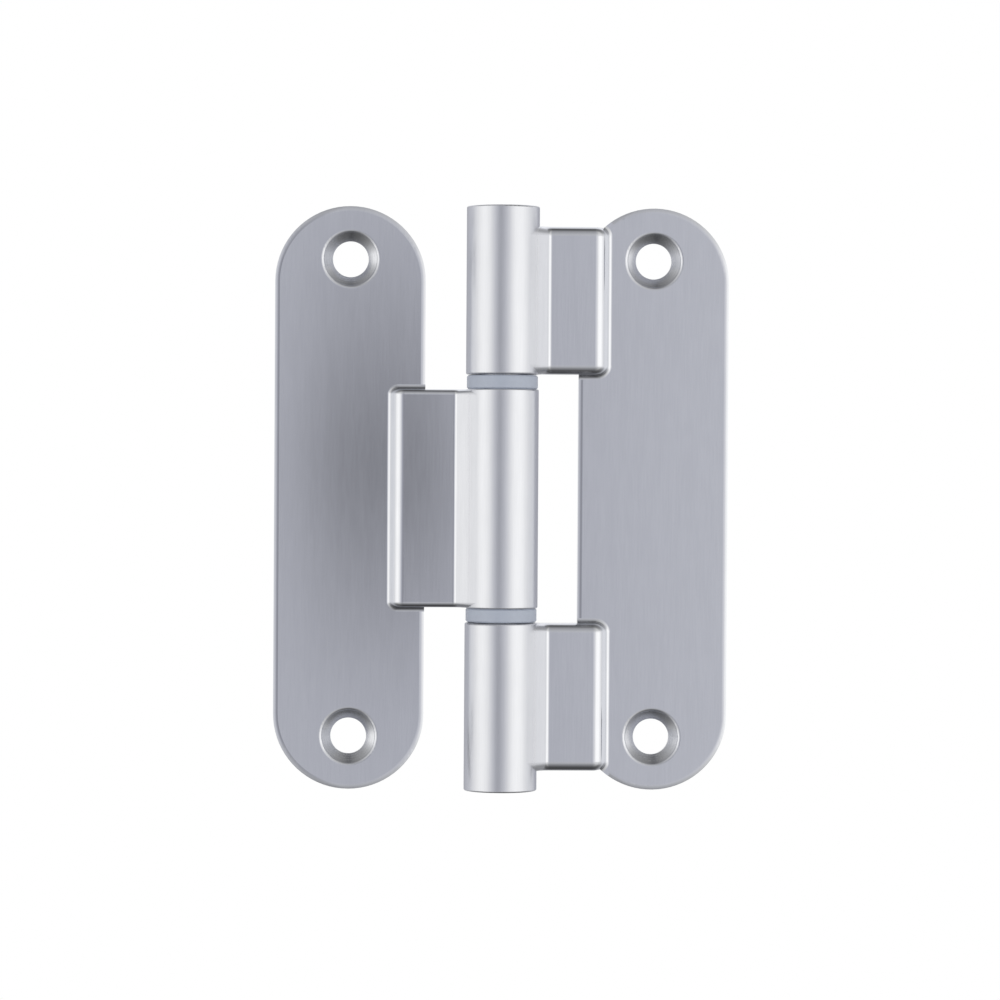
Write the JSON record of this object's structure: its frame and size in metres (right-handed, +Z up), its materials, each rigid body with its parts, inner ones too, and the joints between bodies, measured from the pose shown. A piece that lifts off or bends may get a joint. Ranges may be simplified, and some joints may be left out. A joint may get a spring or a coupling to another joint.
{
  "type": "butt hinge",
  "caption": "Projecting-barrel hinge with round-ended screw-on leaves, cast arms and flanged plain bushes, laid open flat.",
  "frame": {"origin": "on the pin's axis, half way up the hinge, which is the centre of its box when it lies open flat", "axes": "+Z up along the pin, +X from the pin to the frame leaf, +Y from the countersunk faces to the backs of the leaves"},
  "size_m": [0.0936, 0.015, 0.12],
  "materials": {
    "satin_steel": "satin, brushed along the barrel",
    "pin_steel": "ground",
    "bush_plastic": "smooth, slightly translucent look",
    "screw_steel": "plain"
  },
  "bodies": {
    "frame": {"frame_leaf": "satin_steel", "hinge_pin": "pin_steel", "upper_set_screw": "screw_steel", "lower_set_screw": "screw_steel", "upper_end_cap": "satin_steel", "lower_end_cap": "satin_steel"},
    "door": {"door_leaf": "satin_steel", "upper_bush": "bush_plastic", "lower_bush": "bush_plastic"}
  },
  "joints": [
    {"name": "door_swing", "type": "hinge", "parent": "frame", "child": "door", "pos_m": [0, 0, 0], "axis": [0, 0, 1], "range_deg": [-144, 180]}
  ]
}
